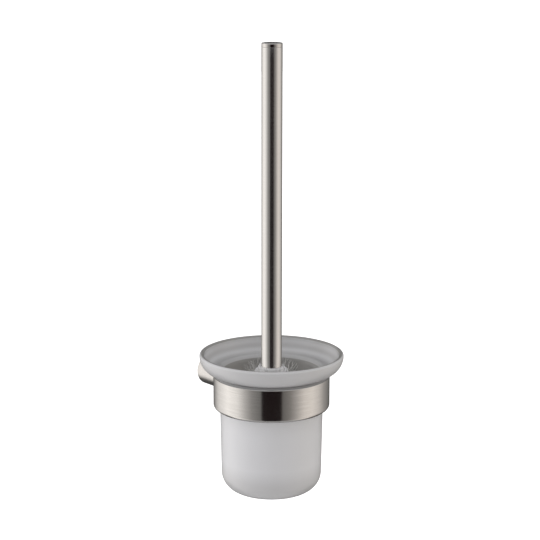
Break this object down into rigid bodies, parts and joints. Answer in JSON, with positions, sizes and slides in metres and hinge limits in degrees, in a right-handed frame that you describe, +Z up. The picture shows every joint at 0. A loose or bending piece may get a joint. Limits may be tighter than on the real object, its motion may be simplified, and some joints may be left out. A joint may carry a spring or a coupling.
{
  "type": "toilet brush holder",
  "caption": "Wall-mounted toilet brush holder: a flared frosted glass cup lifts out of a steel ring on a round post, and holds a brush with a long steel tube handle.",
  "frame": {"origin": "centre of the post's end on the wall plane", "axes": "+Y into the wall, -Y out into the room, +Z up along the handle; the cup's axis is vertical at X = 0, Y = -0.090"},
  "size_m": [0.1266, 0.1533, 0.3952],
  "materials": {
    "brushed_steel": "satin brushed stainless steel, grain running round the tubes and band",
    "zinc_cast": "plain die-cast zinc, hidden once fitted",
    "screw_steel": "plain stainless fasteners",
    "frosted_glass": "satin etched, translucent white",
    "clear_seat": "clear soft plastic",
    "white_plastic": "moulded white polypropylene",
    "bristle": "white nylon bristle tufts"
  },
  "bodies": {
    "holder": {"wall_boss": "zinc_cast", "post": "brushed_steel", "grub_screw": "screw_steel", "ring_screws": "screw_steel", "ring_band": "brushed_steel", "seat_ring": "clear_seat"},
    "cup": {"glass_cup": "frosted_glass"},
    "brush": {"handle_tube": "brushed_steel", "handle_end_cap": "brushed_steel", "handle_insert": "zinc_cast", "head_stud": "screw_steel", "brush_core": "white_plastic", "bristle_crown": "bristle", "bristle_row_1": "bristle", "bristle_row_2": "bristle", "bristle_row_3": "bristle", "bristle_row_4": "bristle", "bristle_row_5": "bristle", "bristle_row_6": "bristle", "bristle_row_7": "bristle", "bristle_row_8": "bristle", "bristle_tip": "bristle"}
  },
  "joints": [
    {"name": "cup_lift", "type": "slide", "parent": "holder", "child": "cup", "axis": [0, 0, 1], "range_m": [0, 0.12]},
    {"name": "brush_lift", "type": "slide", "parent": "cup", "child": "brush", "axis": [0, 0, 1], "range_m": [0, 0.15]}
  ]
}
